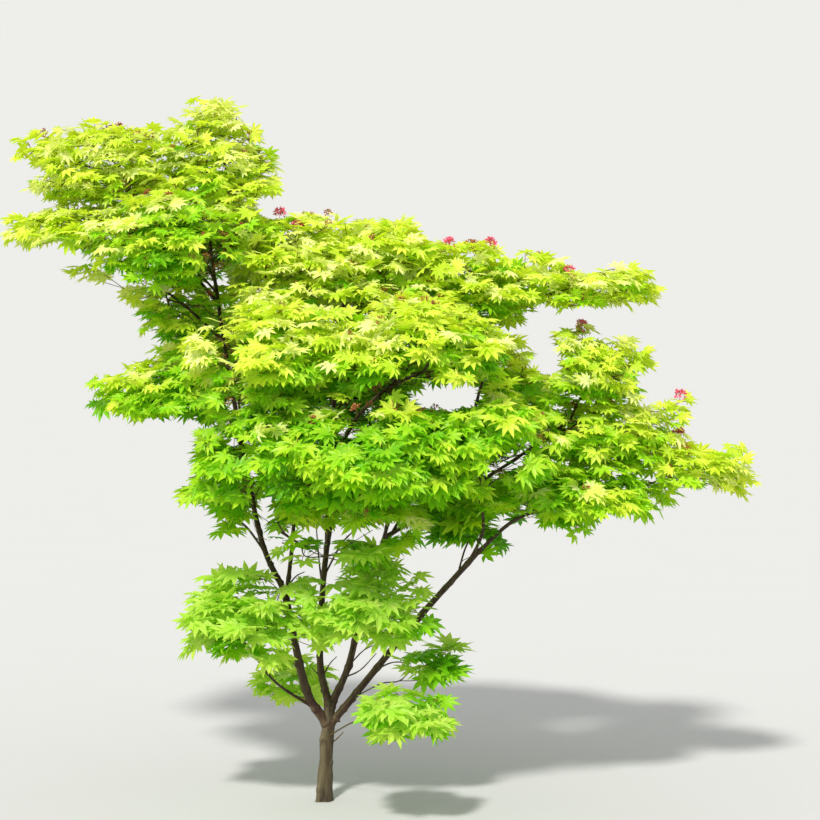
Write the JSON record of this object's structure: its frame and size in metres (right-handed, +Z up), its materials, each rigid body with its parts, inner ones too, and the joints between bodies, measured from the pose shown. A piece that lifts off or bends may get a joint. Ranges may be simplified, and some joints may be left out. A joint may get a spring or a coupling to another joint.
{
  "type": "young full moon maple tree",
  "caption": "Young maple rooted in the ground: a short trunk that forks low into leaning stems, thin boughs, and flat tiers of palm-shaped spring leaves with small tufts of blossom.",
  "frame": {"origin": "middle of the flat cut under the trunk, at ground level", "axes": "+Z up along the trunk; +X to the right in the picture, along the crown's greatest width; -Y towards the viewer of the picture"},
  "size_m": [1.9475, 1.3209, 1.8294],
  "materials": {
    "trunk_bark": "matt grey-brown bark, finely ridged",
    "bough_bark": "smooth red-brown young bark",
    "foliage": "thin soft leaves, yellow-green, light showing through"
  },
  "bodies": {
    "root": {"trunk": "trunk_bark", "stem_left": "bough_bark", "stem_leader": "bough_bark", "stem_inner": "bough_bark", "stem_middle": "bough_bark", "stem_centre": "bough_bark", "stem_right": "bough_bark", "bough_shoulder": "bough_bark", "bough_upper_left": "bough_bark", "bough_tier": "bough_bark", "bough_back_left": "bough_bark", "bough_front_left": "bough_bark", "bough_dome": "bough_bark", "bough_arch": "bough_bark", "bough_back_middle": "bough_bark", "bough_front_middle": "bough_bark", "bough_reach": "bough_bark", "bough_upper_right": "bough_bark", "bough_back_right": "bough_bark", "bough_low_right": "bough_bark", "bough_front_right": "bough_bark", "bough_low_left": "bough_bark", "foliage_top": "foliage", "foliage_top_right": "foliage", "foliage_upper_left": "foliage", "foliage_arm": "foliage", "foliage_leader_front": "foliage", "foliage_leader_back": "foliage", "foliage_shoulder": "foliage", "foliage_tier": "foliage", "foliage_low_tier": "foliage", "foliage_dome_left": "foliage", "foliage_dome_middle": "foliage", "foliage_dome_right": "foliage", "foliage_upper_right": "foliage", "foliage_front_left": "foliage", "foliage_front_right": "foliage", "foliage_right": "foliage", "foliage_far_right": "foliage", "foliage_tip_right": "foliage", "foliage_low_right": "foliage", "foliage_middle_right": "foliage", "foliage_middle": "foliage", "foliage_middle_left": "foliage", "foliage_lower": "foliage", "foliage_lower_right": "foliage", "foliage_hanging": "foliage", "foliage_low_left": "foliage", "foliage_low_front": "foliage", "foliage_low_side": "foliage", "foliage_low_back": "foliage", "foliage_back_left": "foliage", "foliage_back_middle": "foliage", "foliage_back_right": "foliage", "foliage_back_top": "foliage", "foliage_back_low": "foliage"}
  },
  "joints": []
}
